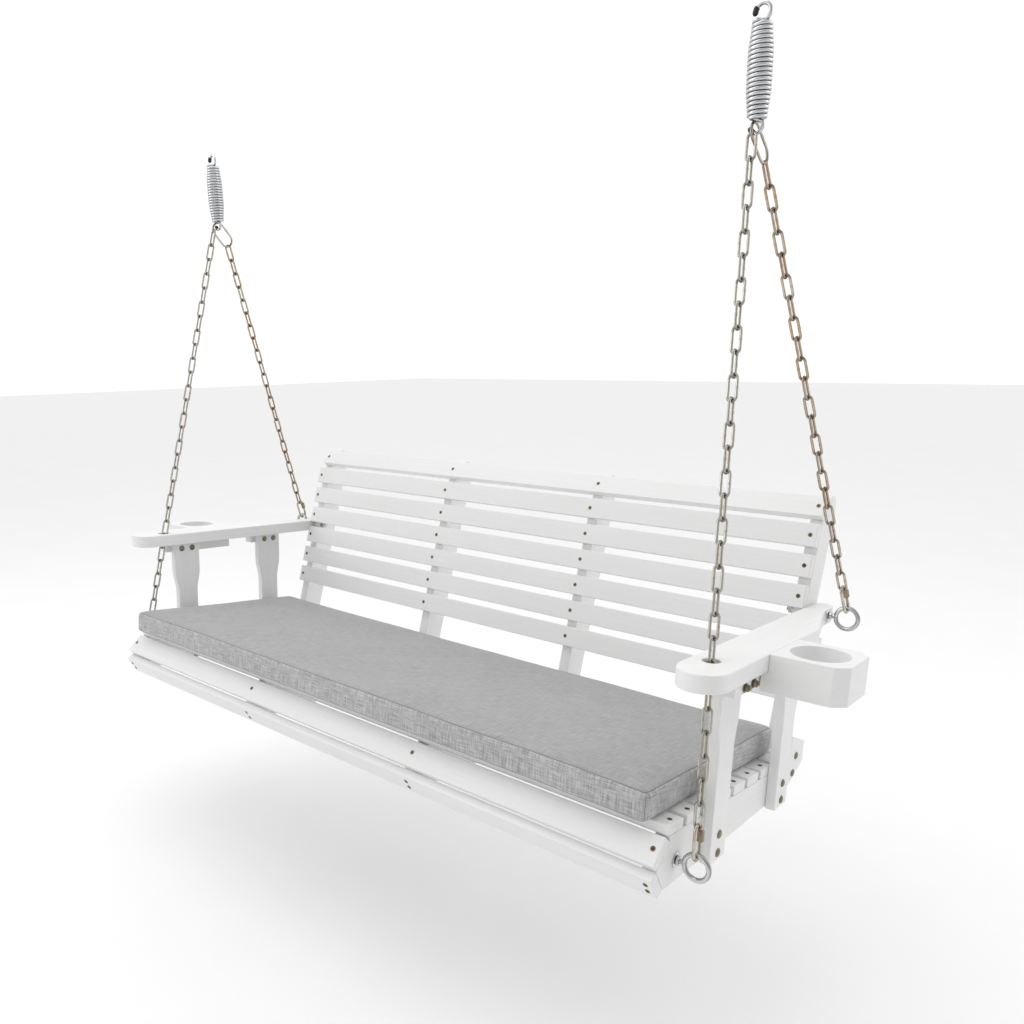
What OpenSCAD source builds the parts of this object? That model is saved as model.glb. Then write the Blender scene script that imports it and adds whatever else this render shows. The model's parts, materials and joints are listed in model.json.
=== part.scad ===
// Hanging porch bench: slatted seat with a rolled back, armrests with cup holders,
// chains, quick links, eye bolts and comfort springs.
// Millimetres. X runs along the bench, Y towards the back, Z up.
// The origin is halfway between the two hook seats that the swing hangs from.

/* [Bench] */
// Width across the outer faces of the end ribs
seat_w = 1524; // [1200:4:1700]
// Thickness of ribs and back uprights
rib_t = 25; // [22:0.5:28]
// Width of every slat
slat_w = 44.5; // [42:0.5:46]
// Thickness of every slat
slat_t = 17; // [15:0.5:18]
// Spacing of the seat slats
seat_pitch = 55.4; // [55:0.1:56]
// Backward fall of the seat in degrees
seat_fall = 3.6; // [3:0.1:4]
// Spacing of the back slats, measured upwards
back_pitch = 57; // [56:0.5:58]
// Lean of the back in degrees
back_lean = 14.3; // [13.5:0.1:15]

/* [Arms and posts] */
// Width of an armrest
arm_w = 80.5; // [76:0.5:84]
// Thickness of an armrest
arm_t = 28.6; // [25:0.2:30]
// Thickness of an arm post
post_t = 18.5; // [16:0.5:20]
// Width of a post at its head
post_head_w = 70; // [66:1:74]
// Width of a post at its foot
post_foot_w = 53; // [48:1:58]
// Diameter of the cup hole
cup_d = 89; // [80:1:92]
// Height of a cup holder block
cup_h = 61; // [56:1:66]

/* [Hanging gear] */
// Distance from the bench centre to each spring
hang_x = 700; // [660:5:720]
// Height of the chain apex above the lowest back screw row
apex_h = 907; // [850:1:960]
// Diameter of the chain wire
chain_d = 4.6; // [4:0.1:5]
// Outer width of a chain link
link_w = 18; // [17:0.5:19]
// Diameter of the eye bolt wire
eye_d = 8; // [7:0.5:9]
// Outer diameter of an eye
eye_od = 48; // [46:1:50]
// Diameter of the spring wire
spring_d = 6; // [5:0.1:6.4]
// Largest outer diameter of a spring coil
coil_od = 37.4; // [35:0.1:40]

/* [Cushion] */
// Length of the seat cushion
cushion_w = 1490; // [1400:2:1500]
// Depth of the seat cushion, front to back
cushion_depth = 480; // [460:2:484]
// Thickness of the seat cushion
cushion_t = 52; // [40:1:60]

/* [Hidden] */
$fn = 48;

white_paint = "#f1f1ee";
zinc = "#c9c3ac";
bright_zinc = "#d8d9da";
bronze = "#8a7440";
black_vinyl = "#1c1c1c";
grey_linen = "#9b9b9b";

eps = 0.01;
half_w = seat_w / 2;
board_gap = 0.5;

// Frame of the bench: Y = 0 and Z = 0 on the face of the lowest back slat, at its screws
hang_y = -260;
hang_tilt = 4.1;
spring_drop = 164.5;
hook_play = 0.3;
link_r = (link_w - chain_d) / 2;
apex_below_hook = link_r - chain_d / 2 - spring_d / 2 - hook_play;

// Seat: top of the slats falls from the front corner
seat_front_y = -480;
seat_front_z = -88;
seat_slats = 9;
last_seat_slat_w = 20;
function seat_top(y) = seat_front_z - tan(seat_fall) * (y - seat_front_y);
function rib_top(y) = seat_top(y) - slat_t / cos(seat_fall) - 0.2;
rib_bottom = -189;

// Apron slats wrap the nose of the ribs: corner of each outer face and its slope
apron_upper_at = [-487.5, -103.2];
apron_upper_dir = 226;
apron_upper_w = slat_w + 3.5;
apron_lower_at = [-525, -159];
apron_lower_dir = -59;
function step_to(p, angle, dist) = [p[0] + dist * cos(angle), p[1] + dist * sin(angle)];
apron_upper_in = step_to(apron_upper_at, apron_upper_dir + 90, slat_t + 0.2);
apron_lower_in = step_to(apron_lower_at, apron_lower_dir + 90, slat_t + 0.2);

// Back: uprights stand against the inner faces of the ribs
upright_depth = 60;
lean = tan(back_lean);
upright_front = slat_t / cos(back_lean) + 0.2;
function back_face(z) = lean * z;
roll_lean = 36;
roll_at = [101, 338];
back_slats = 7;
back_w = 1474;

rib_x = [for (i = [0:3]) -half_w + rib_t / 2 + i * (seat_w - rib_t) / 3];
upright_x = [rib_x[0] + rib_t, rib_x[1] + rib_t, rib_x[2] - rib_t, rib_x[3] - rib_t];

// Arms, posts and cleats
arm_z = 122;
arm_in = half_w - rib_t + board_gap;
arm_out = arm_in + arm_w;
arm_rear = 113;
arm_nose_y = -443;
nose_steps = 16;
arm_seat_x = 777;
arm_side = [[arm_out, -97], [797, -30], [783, 20], [arm_seat_x, 46], [arm_seat_x, 86], [771, 106], [760, 113]];
post_y = [-346, -90];
post_foot = -192;
post_waist = [48, -8];
cleat_w = 25;
cleat_len = 96;
cleat_h = 25;
cup_in = half_w + post_t + cleat_w + 1.5;
cup_out = 934;
cup_front = -309;
cup_rear = -190;
cup_clip = 19;
cup_center = [874, -249.5];

// Chain geometry on the right side
link_play = 0.25;
apex = [hang_x, hang_y, apex_h];
apex_inner = 34.6;
apex_bend = (apex_inner + 2 * chain_d - link_w) / 2;
eye_reach = 34;
eye_r = (eye_od - eye_d) / 2;
front_eye_face = [half_w, -452, -153];
rear_eye_face = [arm_seat_x, 66, 139];
front_eye = front_eye_face + [eye_reach, 0, 0];
rear_eye = rear_eye_face + [eye_reach, 0, 0];
quick_d = 6;
quick_len = 58;
quick_w = 24;
sleeve_len = 17;
sleeve_play = 0.1;
link_azimuth = 90;
gap_low = 22;
gap_high = 30;
front_links = 29;
rear_links = 23;

function unit(v) = v / norm(v);
function bend_at(side) = apex + [0, side * apex_bend, 0];
// Middle of the eye's wire where the quick link bears on it
function eye_seat(eye, side) =
    let (d = bend_at(side) - eye) eye + eye_r * unit([d[0], 0, d[2]]);
function run_dir(eye, side) = unit(eye_seat(eye, side) - bend_at(side));
function run_start(eye, side) = bend_at(side) + run_dir(eye, side) * (link_r - chain_d - link_play);
function quick_low(eye, side) =
    eye_seat(eye, side) + run_dir(eye, side) * (eye_d / 2 + quick_d / 2 + link_play);
function run_end(eye, side) = quick_low(eye, side)
    - run_dir(eye, side) * (quick_len - 1.5 * quick_d - chain_d / 2 - link_play);
function run_pitch(eye, side, n) =
    (norm(run_end(eye, side) - run_start(eye, side)) - link_play - chain_d) / n;
function chain_point(z) =
    let (a = run_start(front_eye, -1), d = run_dir(front_eye, -1)) a + d * (z - a[2]) / d[2];
chain_hole = chain_point(arm_z + arm_t / 2);
chain_hole_d = 27;

// Fasteners
bolt_d = 6.4;
bolt_head_d = 15;
bolt_head_h = 3.4;
nut_af = 11;
nut_h = 5.5;
washer_d = 16;
washer_t = 1.4;
screw_head_d = 8.6;
screw_head_h = 3.2;
screw_d = 4.2;
screw_proud = 0.5;
eye_washer_d = 25;
eye_washer_t = 2;
eye_nut_af = 15;
eye_nut_h = 8;
post_bolt_dy = 15;
post_bolt_top = 107;
post_bolt_low = [-146, -178];
tail_bolts = [[18, -132], [8, -164]];

// Springs: close-wound barrel coil with an open hook at each end
upper_hook_r = 11.5;
lower_hook_r = 9.5;
coil_top = -17.5;
coil_len = 131;
coil_end_od = 30;
coil_taper = 22;
upper_from = -60;
upper_sweep = 250;
lower_from = -175;
hook_stem_d = spring_d + 0.6;
cap_len = 10;
cap_wall = 1.3;

// ---- placing ----
// The empty bench hangs with its centre of mass under the hooks, so it tips back a little
module on_bench() {
    translate([0, 0, -spring_drop]) rotate([-hang_tilt, 0, 0])
        translate([0, -hang_y, -apex_below_hook - apex_h]) children();
}

module other_side() { mirror([1, 0, 0]) children(); }

// A board cut from a side outline drawn in Y and Z, centred on x
module side_board(x, t, outline) {
    translate([x - t / 2, 0, 0]) rotate([90, 0, 90]) linear_extrude(t) polygon(outline);
}

// A slat along X: its outer face starts at corner p and runs in direction angle
module slat(p, angle, w, length) {
    side_board(0, length, [p, step_to(p, angle, w),
        step_to(step_to(p, angle, w), angle + 90, slat_t), step_to(p, angle + 90, slat_t)]);
}

// Points from p towards direction d, with its length axis turned so that w is the width's azimuth
module aim(p, d, azimuth) {
    turn = atan2(d[1], d[0]);
    translate(p) rotate([0, acos(d[2]), turn]) rotate([0, 0, azimuth - turn]) children();
}

// ---- wood ----
module rib(x) {
    tail_y = -12;
    side_board(x, rib_t, [
        [-476, rib_top(-476)], apron_upper_in,
        step_to(apron_upper_in, apron_upper_dir, apron_upper_w), apron_lower_in,
        step_to(apron_lower_in, apron_lower_dir, slat_w), [-484, rib_bottom],
        [-24, rib_bottom], [-6, -184], [56, -154], [56, -112], [-4, -87], [-9, -90],
        [tail_y, rib_top(tail_y)]
    ]);
}

module seat_slat_at(i) {
    y = seat_front_y + (i - 1) * seat_pitch;
    w = i == seat_slats ? last_seat_slat_w : slat_w;
    front = [y, seat_top(y)];
    slat(step_to(front, -seat_fall, w), 180 - seat_fall, w, seat_w);
}

module apron_slat(p, angle, width) { slat(p, angle, width, seat_w); }

module back_slat_at(i) {
    z = (back_slats - i) * back_pitch;
    face = i == 1 ? roll_at : [back_face(z), z];
    angle = i == 1 ? 90 - roll_lean : 90 - back_lean;
    slat(step_to(face, angle, slat_w / 2), angle + 180, slat_w, back_w);
}

module upright(x) {
    roll_dir = 90 - roll_lean;
    roll_in = step_to(roll_at, roll_dir - 90, slat_t + 0.2);
    bend_z = 303;
    side_board(x, rib_t, [
        [back_face(rib_bottom) + upright_front, rib_bottom],
        [back_face(rib_bottom) + upright_front + upright_depth, rib_bottom],
        [back_face(-120) + upright_front + upright_depth, -120],
        [back_face(bend_z) + upright_front + upright_depth + 1, bend_z],
        [160, 325], [161, 338], [157, 349], [150, 355], [140, 357],
        step_to(roll_in, roll_dir, slat_w / 2 + 6), step_to(roll_in, roll_dir, -slat_w / 2 + 2),
        [back_face(bend_z) + upright_front, bend_z]
    ]);
}

module armrest() {
    translate([0, 0, arm_z]) difference() {
        linear_extrude(arm_t) polygon([
            for (i = [0:nose_steps]) step_to([arm_in + arm_w / 2, arm_nose_y], i * 180 / nose_steps, -arm_w / 2),
            for (p = arm_side) p, [arm_in + 12, arm_rear], [arm_in, arm_rear - 12]
        ]);
        translate([chain_hole[0], chain_hole[1], -1]) cylinder(d = chain_hole_d, h = arm_t + 2);
    }
}

// Half width of a post at height z: straight head, S curve, straight foot
function post_half(z) =
    let (f = max(0, min(1, (z - post_waist[1]) / (post_waist[0] - post_waist[1]))))
    post_foot_w / 2 + (post_head_w - post_foot_w) / 2 * (1 - cos(180 * f)) / 2;

module post(y) {
    waist_steps = 8;
    waist = post_waist[0] - post_waist[1];
    levels = [post_foot, for (i = [0:waist_steps]) post_waist[1] + i * waist / waist_steps, arm_z - 0.1];
    side_board(half_w + post_t / 2 + 0.05, post_t, [
        for (z = levels) [y - post_half(z), z],
        for (i = [len(levels) - 1:-1:0]) [y + post_half(levels[i]), levels[i]]
    ]);
}

module cleat(y) {
    translate([half_w + post_t + 0.1, y - cleat_len / 2, arm_z - cleat_h - 0.1])
        cube([cleat_w, cleat_len, cleat_h]);
}

module cup_holder() {
    foot = arm_z + arm_t - cup_h;
    difference() {
        translate([0, 0, foot]) linear_extrude(cup_h) polygon([
            [cup_in, cup_front], [cup_out - cup_clip, cup_front], [cup_out, cup_front + cup_clip],
            [cup_out, cup_rear - cup_clip], [cup_out - cup_clip, cup_rear], [cup_in, cup_rear]
        ]);
        translate([cup_in - 1, cup_front - 1, arm_z - 0.1])
            cube([arm_out + 0.1 - cup_in + 1, cup_rear - cup_front + 2, arm_t + 2]);
        translate([cup_center[0], cup_center[1], foot - 1]) cylinder(d = cup_d, h = cup_h + 2, $fn = 96);
    }
}

// ---- fasteners ----
// Countersunk screw: head face at the origin, driven along -Z
module screw(length) {
    translate([0, 0, -screw_head_h]) cylinder(d = screw_head_d, h = screw_head_h + screw_proud);
    translate([0, 0, -length]) cylinder(d = screw_d, h = length - screw_head_h + eps);
}

// A screw at side point p, driven against the outward direction angle
module face_screw(x, p, angle, length) {
    translate([x, p[0], p[1]]) rotate([angle - 90, 0, 0]) screw(length);
}

module screws() {
    length = 36;
    for (i = [1:seat_slats], x = rib_x) {
        w = i == seat_slats ? last_seat_slat_w : slat_w;
        y = seat_front_y + (i - 1) * seat_pitch + w / 2;
        face_screw(x, [y, seat_top(y)], 90 - seat_fall, length);
    }
    for (i = [1:back_slats], x = upright_x) {
        z = (back_slats - i) * back_pitch;
        p = i == 1 ? roll_at : [back_face(z), z];
        face_screw(x, p, 180 - (i == 1 ? roll_lean : back_lean), length);
    }
    for (x = rib_x) {
        face_screw(x, step_to(apron_upper_at, apron_upper_dir, slat_w / 2), apron_upper_dir - 90, length);
        for (d = [-8, 8]) {
            at = step_to(apron_lower_at, apron_lower_dir, slat_w / 2 + d);
            face_screw(x, at, apron_lower_dir - 90, length);
        }
    }
}

// Carriage bolt along +X with its domed head left of x = 0
module carriage_bolt(grip) {
    dome_r = (pow(bolt_head_d / 2, 2) + pow(bolt_head_h, 2)) / (2 * bolt_head_h);
    rotate([0, 90, 0]) {
        cylinder(d = bolt_d, h = grip + washer_t + nut_h + 3);
        intersection() {
            translate([0, 0, dome_r - bolt_head_h]) sphere(r = dome_r);
            translate([0, 0, -bolt_head_h - 1]) cylinder(d = bolt_head_d, h = bolt_head_h + 1);
        }
    }
}

module bolt_nut(grip) {
    translate([grip, 0, 0]) rotate([0, 90, 0]) difference() {
        union() {
            cylinder(d = washer_d, h = washer_t);
            translate([0, 0, washer_t - eps]) cylinder(d = nut_af / cos(30), h = nut_h + eps, $fn = 6);
        }
        translate([0, 0, -1]) cylinder(d = bolt_d + 0.2, h = nut_h + washer_t + 2);
    }
}

// Every carriage bolt of the right half: children(0) is drawn with its head at each place
module each_bolt(outer) {
    for (y = post_y) {
        if (!outer)
            for (dy = [-post_bolt_dy, post_bolt_dy])
                translate([half_w + 0.05, y + dy, post_bolt_top]) children();
        if (outer)
            for (z = post_bolt_low)
                translate([half_w + post_t + 0.1, y, z]) mirror([1, 0, 0]) children();
    }
}

module each_tail_bolt() {
    for (x = [rib_x[2], rib_x[3]], p = tail_bolts)
        translate([x + rib_t / 2, p[0], p[1]]) mirror([1, 0, 0]) children();
}

post_grip_top = post_t + cleat_w + 0.1;
post_grip_low = post_t + rib_t + 0.1;
tail_grip = 2 * rib_t;

module both_sides() {
    children();
    other_side() children();
}

// ---- hanging gear ----
// One straight chain link along Z, its width along X
module chain_link(inner) {
    straight = inner + 2 * chain_d - link_w;
    for (s = [-1, 1]) {
        translate([s * link_r, 0, -straight / 2]) cylinder(d = chain_d, h = straight, $fn = 24);
        translate([0, 0, s * straight / 2]) rotate([s * 90, 0, 0])
            rotate_extrude(angle = 180, $fn = 48) translate([link_r, 0]) circle(d = chain_d, $fn = 24);
    }
}

// The same point or direction on the right (1) or the left (-1)
function on_side(p, s) = [s * p[0], p[1], p[2]];

module chain_run(eye, side, n, s) {
    pitch = run_pitch(eye, side, n);
    d = run_dir(eye, side);
    first = run_start(eye, side) + d * (pitch + link_play + chain_d) / 2;
    for (i = [0:n - 1])
        aim(on_side(first + d * i * pitch, s), on_side(-d, s), i % 2 * 90) chain_link(pitch + link_play);
}

module chain(s) {
    translate(on_side(apex, s)) rotate([-90, 0, 0]) rotate([0, 0, 90]) chain_link(apex_inner);
    chain_run(front_eye, -1, front_links, s);
    chain_run(rear_eye, 1, rear_links, s);
}

// Quick link along Z with its lower bend centred on the origin; the gap is in the +X leg
module quick_link() {
    r = (quick_w - quick_d) / 2;
    straight = quick_len - quick_w;
    translate([-r, 0, 0]) cylinder(d = quick_d, h = straight);
    translate([r, 0, 0]) cylinder(d = quick_d, h = gap_low);
    translate([r, 0, gap_high]) cylinder(d = quick_d, h = straight - gap_high);
    for (s = [-1, 1])
        translate([0, 0, s > 0 ? straight : 0]) rotate([s * 90, 0, 0])
            rotate_extrude(angle = 180) translate([r, 0]) circle(d = quick_d);
}

module sleeve_nut() {
    r = (quick_w - quick_d) / 2;
    low = quick_len - quick_w - sleeve_len - 0.5;
    translate([r, 0, low]) difference() {
        cylinder(d = 10 / cos(30), h = sleeve_len, $fn = 6);
        translate([0, 0, -1]) cylinder(d = quick_d + 2 * sleeve_play, h = sleeve_len + 2);
    }
}

module at_quick_link(eye, side) {
    up = -run_dir(eye, side);
    bend = quick_low(eye, side) + up * (quick_w - quick_d) / 2;
    aim(bend, up, link_azimuth) children();
}

// Eye bolt along -X from the board face at the origin, ring in the XZ plane
module eye_bolt(grip) {
    translate([eye_reach, 0, 0]) rotate([90, 0, 0])
        rotate_extrude() translate([eye_r, 0]) circle(d = eye_d);
    shank = eye_reach - eye_r;
    translate([eye_washer_t + 0.1, 0, 0]) rotate([0, 90, 0]) cylinder(d = 15, h = 4);
    translate([-grip - eye_washer_t - eye_nut_h - 4, 0, 0]) rotate([0, 90, 0])
        cylinder(d = eye_d, h = shank + grip + eye_washer_t + eye_nut_h + 4);
}

module eye_washers(grip) {
    for (x = [0.05, -grip - eye_washer_t - 0.05])
        translate([x, 0, 0]) rotate([0, 90, 0]) difference() {
            cylinder(d = eye_washer_d, h = eye_washer_t);
            translate([0, 0, -1]) cylinder(d = eye_d + 0.4, h = eye_washer_t + 2);
        }
}

module eye_nut(grip) {
    translate([-grip - eye_washer_t - eye_nut_h - 0.1, 0, 0]) rotate([0, 90, 0]) difference() {
        cylinder(d = eye_nut_af / cos(30), h = eye_nut_h, $fn = 6);
        translate([0, 0, -1]) cylinder(d = eye_d + 0.2, h = eye_nut_h + 2);
    }
}

front_grip = rib_t;
rear_grip = arm_seat_x - (half_w - 2 * rib_t);
module at_front_eye() { translate(front_eye_face) children(); }
module at_rear_eye() { translate(rear_eye_face) children(); }

// Barrel of closed coils; the last turn belongs to the lower hook
module spring_coil() {
    outer = coil_od / 2;
    end_r = coil_end_od / 2;
    foot = coil_top - coil_len + spring_d + 0.2;
    rotate_extrude() polygon([
        [end_r - spring_d, coil_top], [end_r, coil_top], [outer, coil_top - coil_taper],
        [outer, foot + coil_taper], [end_r, foot],
        [end_r - spring_d, foot], [outer - spring_d, foot + coil_taper],
        [outer - spring_d, coil_top - coil_taper]
    ]);
}

// Wire bent round in the XZ plane, anticlockwise from the angle given
module hook_arc(r, from, sweep) {
    rotate([90, 0, 0]) rotate([0, 0, from]) rotate_extrude(angle = sweep, $fn = 32)
        translate([r, 0]) circle(d = spring_d, $fn = 24);
}

module upper_hook() {
    translate([0, 0, spring_d / 2 - upper_hook_r]) hook_arc(upper_hook_r, upper_from, upper_sweep);
    bridge = coil_end_od / 2 - 4;
    translate([2, 0, coil_top - spring_d / 2]) rotate([0, 90, 0]) cylinder(d = spring_d, h = bridge);
}

// The last turn is a flat ring with a bar across it; the hook's stem stands on its right side
module lower_hook() {
    ring_z = coil_top - coil_len;
    center_z = lower_hook_r - spring_drop;
    translate([0, 0, center_z]) hook_arc(lower_hook_r, lower_from, -lower_from);
    translate([lower_hook_r, 0, center_z - 0.5]) cylinder(d = hook_stem_d, h = ring_z - center_z + 1.5);
    translate([0, 0, ring_z]) difference() {
        cylinder(d = coil_end_od, h = spring_d);
        translate([0, 0, -1]) cylinder(d = coil_end_od - 4 * spring_d, h = spring_d + 2);
    }
}

// Vinyl cap pushed over the tip of a hook that ends at the angle given
module hook_cap(r, tip, turn) {
    sweep = cap_len / r * 180 / PI;
    rotate([90, 0, 0]) rotate([0, 0, turn > 0 ? tip - sweep + 6 : tip - 6]) rotate_extrude(angle = sweep)
        translate([r, 0]) difference() {
            circle(d = spring_d + 2 * cap_wall);
            circle(d = spring_d + 0.1);
        }
}

module at_springs() {
    both_sides() translate([hang_x, 0, 0]) children();
}

module cushion() {
    lift = 0.8;
    front_y = -516;
    p = [front_y, seat_top(front_y) + lift];
    back = step_to(p, -seat_fall, cushion_depth);
    outline = [p, back, step_to(back, 90 - seat_fall, cushion_t), step_to(p, 90 - seat_fall, cushion_t)];
    side_board(0, cushion_w, outline);
}

// ---- sub-parts ----
module paint() { color(white_paint) on_bench() children(); }

module rib_left_end() { paint() rib(rib_x[0]); }
module rib_left_inner() { paint() rib(rib_x[1]); }
module rib_right_inner() { paint() rib(rib_x[2]); }
module rib_right_end() { paint() rib(rib_x[3]); }
module seat_slat_1() { paint() seat_slat_at(1); }
module seat_slat_2() { paint() seat_slat_at(2); }
module seat_slat_3() { paint() seat_slat_at(3); }
module seat_slat_4() { paint() seat_slat_at(4); }
module seat_slat_5() { paint() seat_slat_at(5); }
module seat_slat_6() { paint() seat_slat_at(6); }
module seat_slat_7() { paint() seat_slat_at(7); }
module seat_slat_8() { paint() seat_slat_at(8); }
module seat_slat_9() { paint() seat_slat_at(9); }
module back_slat_1() { paint() back_slat_at(1); }
module back_slat_2() { paint() back_slat_at(2); }
module back_slat_3() { paint() back_slat_at(3); }
module back_slat_4() { paint() back_slat_at(4); }
module back_slat_5() { paint() back_slat_at(5); }
module back_slat_6() { paint() back_slat_at(6); }
module back_slat_7() { paint() back_slat_at(7); }
module apron_slat_upper() { paint() apron_slat(apron_upper_at, apron_upper_dir, apron_upper_w); }
module apron_slat_lower() { paint() apron_slat(apron_lower_at, apron_lower_dir, slat_w); }
module upright_left_end() { paint() upright(upright_x[0]); }
module upright_left_inner() { paint() upright(upright_x[1]); }
module upright_right_inner() { paint() upright(upright_x[2]); }
module upright_right_end() { paint() upright(upright_x[3]); }
module armrest_right() { paint() armrest(); }
module armrest_left() { paint() other_side() armrest(); }
module post_front_right() { paint() post(post_y[0]); }
module post_front_left() { paint() other_side() post(post_y[0]); }
module post_rear_right() { paint() post(post_y[1]); }
module post_rear_left() { paint() other_side() post(post_y[1]); }
module cleat_front_right() { paint() cleat(post_y[0]); }
module cleat_front_left() { paint() other_side() cleat(post_y[0]); }
module cleat_rear_right() { paint() cleat(post_y[1]); }
module cleat_rear_left() { paint() other_side() cleat(post_y[1]); }
module cup_holder_right() { paint() cup_holder(); }
module cup_holder_left() { paint() other_side() cup_holder(); }
module seat_cushion() { color(grey_linen) on_bench() cushion(); }
module wood_screws() { color(bronze) on_bench() screws(); }

module carriage_bolts() {
    color(zinc) on_bench() both_sides() {
        each_bolt(false) carriage_bolt(post_grip_top);
        each_bolt(true) carriage_bolt(post_grip_low);
        each_tail_bolt() carriage_bolt(tail_grip);
    }
}

module carriage_bolt_nuts() {
    color(zinc) on_bench() both_sides() {
        each_bolt(false) bolt_nut(post_grip_top);
        each_bolt(true) bolt_nut(post_grip_low);
        each_tail_bolt() bolt_nut(tail_grip);
    }
}

module plated_on_bench() { color(bright_zinc) on_bench() children(); }
module eye_bolt_front_right() { plated_on_bench() at_front_eye() eye_bolt(front_grip); }
module eye_bolt_front_left() { plated_on_bench() other_side() at_front_eye() eye_bolt(front_grip); }
module eye_bolt_rear_right() { plated_on_bench() at_rear_eye() eye_bolt(rear_grip); }
module eye_bolt_rear_left() { plated_on_bench() other_side() at_rear_eye() eye_bolt(rear_grip); }

module eye_bolt_washers() {
    color(bright_zinc) on_bench() both_sides() {
        at_front_eye() eye_washers(front_grip);
        at_rear_eye() eye_washers(rear_grip);
    }
}

module eye_bolt_nuts() {
    color(bright_zinc) on_bench() both_sides() {
        at_front_eye() eye_nut(front_grip);
        at_rear_eye() eye_nut(rear_grip);
    }
}

module at_front_quick_link() { at_quick_link(front_eye, -1) children(); }
module at_rear_quick_link() { at_quick_link(rear_eye, 1) children(); }

module quick_links() {
    color(zinc) on_bench() both_sides() {
        at_front_quick_link() quick_link();
        at_rear_quick_link() quick_link();
    }
}

module link_sleeve_front_right() { color(bronze) on_bench() at_front_quick_link() sleeve_nut(); }
module link_sleeve_front_left() { color(bronze) on_bench() other_side() at_front_quick_link() sleeve_nut(); }
module link_sleeve_rear_right() { color(bronze) on_bench() at_rear_quick_link() sleeve_nut(); }
module link_sleeve_rear_left() { color(bronze) on_bench() other_side() at_rear_quick_link() sleeve_nut(); }
module chain_right() { color(zinc) on_bench() chain(1); }
module chain_left() { color(zinc) on_bench() chain(-1); }

module spring_right() {
    color(bright_zinc) translate([hang_x, 0, 0]) {
        spring_coil();
        upper_hook();
    }
}

module spring_left() { other_side() spring_right(); }
module spring_lower_hooks() { color(bright_zinc) at_springs() lower_hook(); }

module hook_caps_upper() {
    color(black_vinyl) at_springs() translate([0, 0, spring_d / 2 - upper_hook_r])
        hook_cap(upper_hook_r, upper_from + upper_sweep, 1);
}

module hook_caps_lower() {
    color(black_vinyl) at_springs() translate([0, 0, lower_hook_r - spring_drop])
        hook_cap(lower_hook_r, lower_from, -1);
}

rib_left_end();
rib_left_inner();
rib_right_inner();
rib_right_end();
seat_slat_1();
seat_slat_2();
seat_slat_3();
seat_slat_4();
seat_slat_5();
seat_slat_6();
seat_slat_7();
seat_slat_8();
seat_slat_9();
apron_slat_upper();
apron_slat_lower();
upright_left_end();
upright_left_inner();
upright_right_inner();
upright_right_end();
back_slat_1();
back_slat_2();
back_slat_3();
back_slat_4();
back_slat_5();
back_slat_6();
back_slat_7();
armrest_left();
armrest_right();
post_front_left();
post_front_right();
post_rear_left();
post_rear_right();
cleat_front_left();
cleat_front_right();
cleat_rear_left();
cleat_rear_right();
cup_holder_left();
cup_holder_right();
wood_screws();
carriage_bolts();
carriage_bolt_nuts();
seat_cushion();
eye_bolt_front_left();
eye_bolt_front_right();
eye_bolt_rear_left();
eye_bolt_rear_right();
eye_bolt_washers();
eye_bolt_nuts();
quick_links();
link_sleeve_front_left();
link_sleeve_front_right();
link_sleeve_rear_left();
link_sleeve_rear_right();
chain_left();
chain_right();
spring_left();
spring_right();
spring_lower_hooks();
hook_caps_upper();
hook_caps_lower();
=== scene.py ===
"""Looks of a slatted porch swing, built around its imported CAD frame. Metres, +Z up."""

import json
import math
import random

import bmesh
import bpy
import numpy as np
from mathutils import Matrix, Vector, noise


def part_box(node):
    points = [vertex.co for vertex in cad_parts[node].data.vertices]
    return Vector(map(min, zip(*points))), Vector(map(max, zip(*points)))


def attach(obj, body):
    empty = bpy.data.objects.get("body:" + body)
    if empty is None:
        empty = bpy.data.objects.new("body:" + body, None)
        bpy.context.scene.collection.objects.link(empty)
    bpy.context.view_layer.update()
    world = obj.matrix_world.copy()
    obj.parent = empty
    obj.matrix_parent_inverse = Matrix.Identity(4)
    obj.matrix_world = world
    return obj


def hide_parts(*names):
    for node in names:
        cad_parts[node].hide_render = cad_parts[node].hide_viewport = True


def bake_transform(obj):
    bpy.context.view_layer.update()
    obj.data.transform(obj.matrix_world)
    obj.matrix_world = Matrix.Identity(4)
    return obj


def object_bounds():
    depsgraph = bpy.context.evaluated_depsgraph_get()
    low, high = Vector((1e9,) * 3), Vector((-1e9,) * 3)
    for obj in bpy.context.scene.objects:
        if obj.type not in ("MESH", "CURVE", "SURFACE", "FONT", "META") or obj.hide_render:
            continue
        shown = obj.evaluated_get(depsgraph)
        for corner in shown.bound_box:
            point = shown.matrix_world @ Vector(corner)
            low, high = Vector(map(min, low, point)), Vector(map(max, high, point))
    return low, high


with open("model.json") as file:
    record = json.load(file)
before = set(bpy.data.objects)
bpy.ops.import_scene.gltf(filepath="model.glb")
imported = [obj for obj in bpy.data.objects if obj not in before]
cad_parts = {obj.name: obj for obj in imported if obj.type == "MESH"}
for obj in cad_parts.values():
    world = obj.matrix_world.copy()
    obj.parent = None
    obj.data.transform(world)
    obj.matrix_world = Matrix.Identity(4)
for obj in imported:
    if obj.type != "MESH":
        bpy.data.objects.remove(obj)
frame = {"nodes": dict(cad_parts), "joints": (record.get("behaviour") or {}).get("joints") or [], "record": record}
cad_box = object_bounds()

MM = 0.001
X_AXIS = Vector((1, 0, 0))
Z_AXIS = Vector((0, 0, 1))
SIDES = {"left": -1, "right": 1}

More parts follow.
